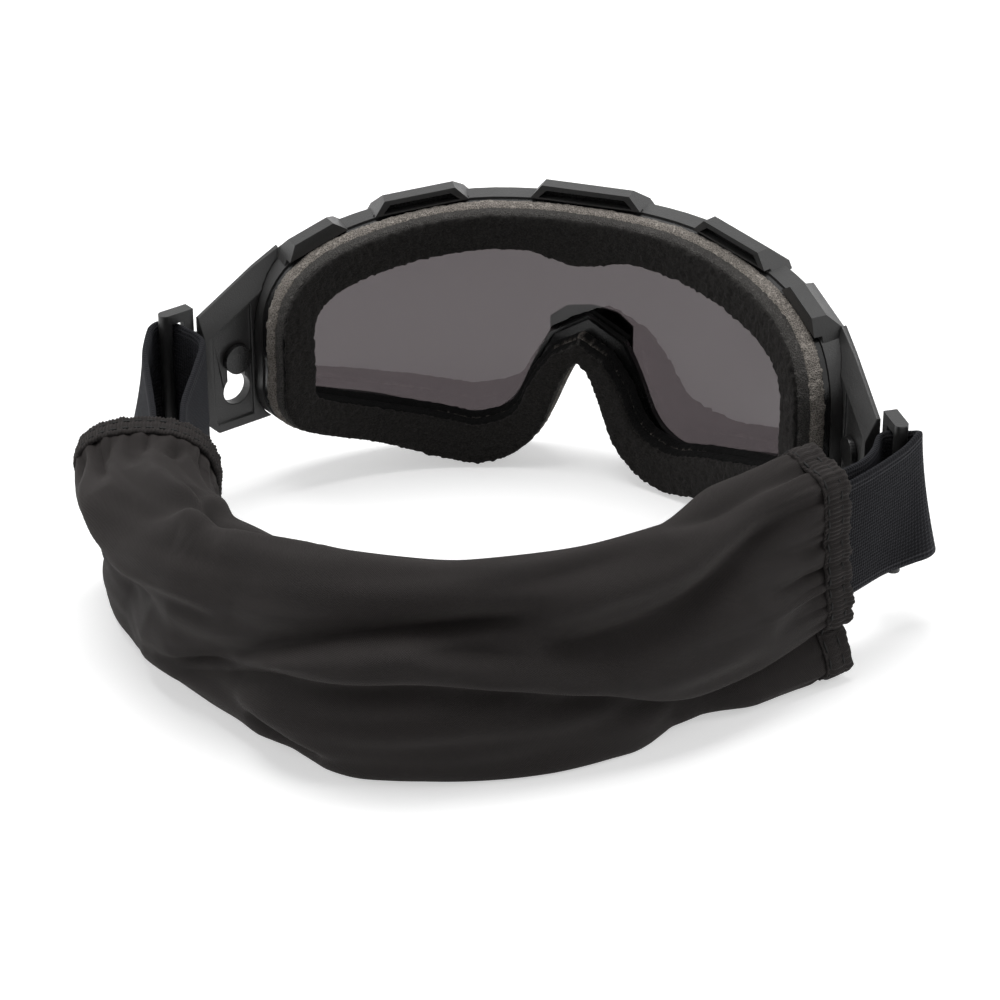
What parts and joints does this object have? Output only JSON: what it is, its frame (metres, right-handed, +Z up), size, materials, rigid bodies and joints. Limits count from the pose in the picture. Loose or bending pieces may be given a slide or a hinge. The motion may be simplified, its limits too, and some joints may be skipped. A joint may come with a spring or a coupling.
{
  "type": "motorcycle goggles",
  "caption": "Motorcycle goggles with a wrapped smoke lens, hooded vents in a moulded frame, layered face foam, pivoting strap clips and an elastic strap in a fabric sleeve.",
  "frame": {"origin": "on the vertical axis that the lens, frame and padding wrap round, at the level of the surface that the goggles stand on", "axes": "+Y forward through the lens, +Z up, +X to the right seen from behind the goggles"},
  "size_m": [0.23, 0.1971, 0.0898],
  "materials": {
    "frame_plastic": "fine-grained moulded charcoal plastic",
    "liner_plastic": "semi-gloss black moulded liner",
    "smoke_lens": "smoke-tinted clear lens",
    "open_foam": "open-cell brown-grey foam",
    "dense_foam": "charcoal closed-cell foam",
    "fleece": "black brushed fleece",
    "filter_foam": "black reticulated filter foam",
    "clip_plastic": "grey moulded plastic",
    "stud_plastic": "smooth black plastic",
    "webbing": "blue-black knitted elastic webbing",
    "sleeve_fabric": "smooth dark stretch fabric with gathered hems"
  },
  "bodies": {
    "frame": {"outer_frame": "frame_plastic", "face_frame": "liner_plastic", "lens": "smoke_lens", "foam_base": "open_foam", "foam_core": "dense_foam", "face_fleece": "fleece", "center_vent_filter": "filter_foam", "left_vent_filter": "filter_foam", "right_vent_filter": "filter_foam", "left_outrigger": "frame_plastic", "right_outrigger": "frame_plastic", "left_strap_loop": "webbing", "right_strap_loop": "webbing", "rear_strap": "webbing", "strap_sleeve": "sleeve_fabric", "left_sleeve_hem": "sleeve_fabric", "right_sleeve_hem": "sleeve_fabric"},
    "left_clip": {"left_strap_clip": "clip_plastic", "left_clip_stud": "stud_plastic"},
    "right_clip": {"right_strap_clip": "clip_plastic", "right_clip_stud": "stud_plastic"},
    "left_adjuster": {"left_slider": "clip_plastic"},
    "right_adjuster": {"right_slider": "clip_plastic"}
  },
  "joints": [
    {"name": "left_clip_pivot", "type": "hinge", "parent": "frame", "child": "left_clip", "pos_m": [-0.0935, 0.05465, 0.0434], "axis": [-0.831, 0.5563, 0], "range_deg": [-15, 15], "deforming": ["left_strap_loop"]},
    {"name": "right_clip_pivot", "type": "hinge", "parent": "frame", "child": "right_clip", "pos_m": [0.0935, 0.05465, 0.0434], "axis": [0.831, 0.5563, 0], "range_deg": [-15, 15], "deforming": ["right_strap_loop"]},
    {"name": "left_slider_slide", "type": "slide", "parent": "frame", "child": "left_adjuster", "axis": [-0.3526, 0.9358, 0], "range_m": [0, 0.012], "deforming": ["left_strap_loop"]},
    {"name": "right_slider_slide", "type": "slide", "parent": "frame", "child": "right_adjuster", "axis": [0.5463, 0.8376, 0], "range_m": [0, 0.012], "deforming": ["right_strap_loop"]}
  ]
}
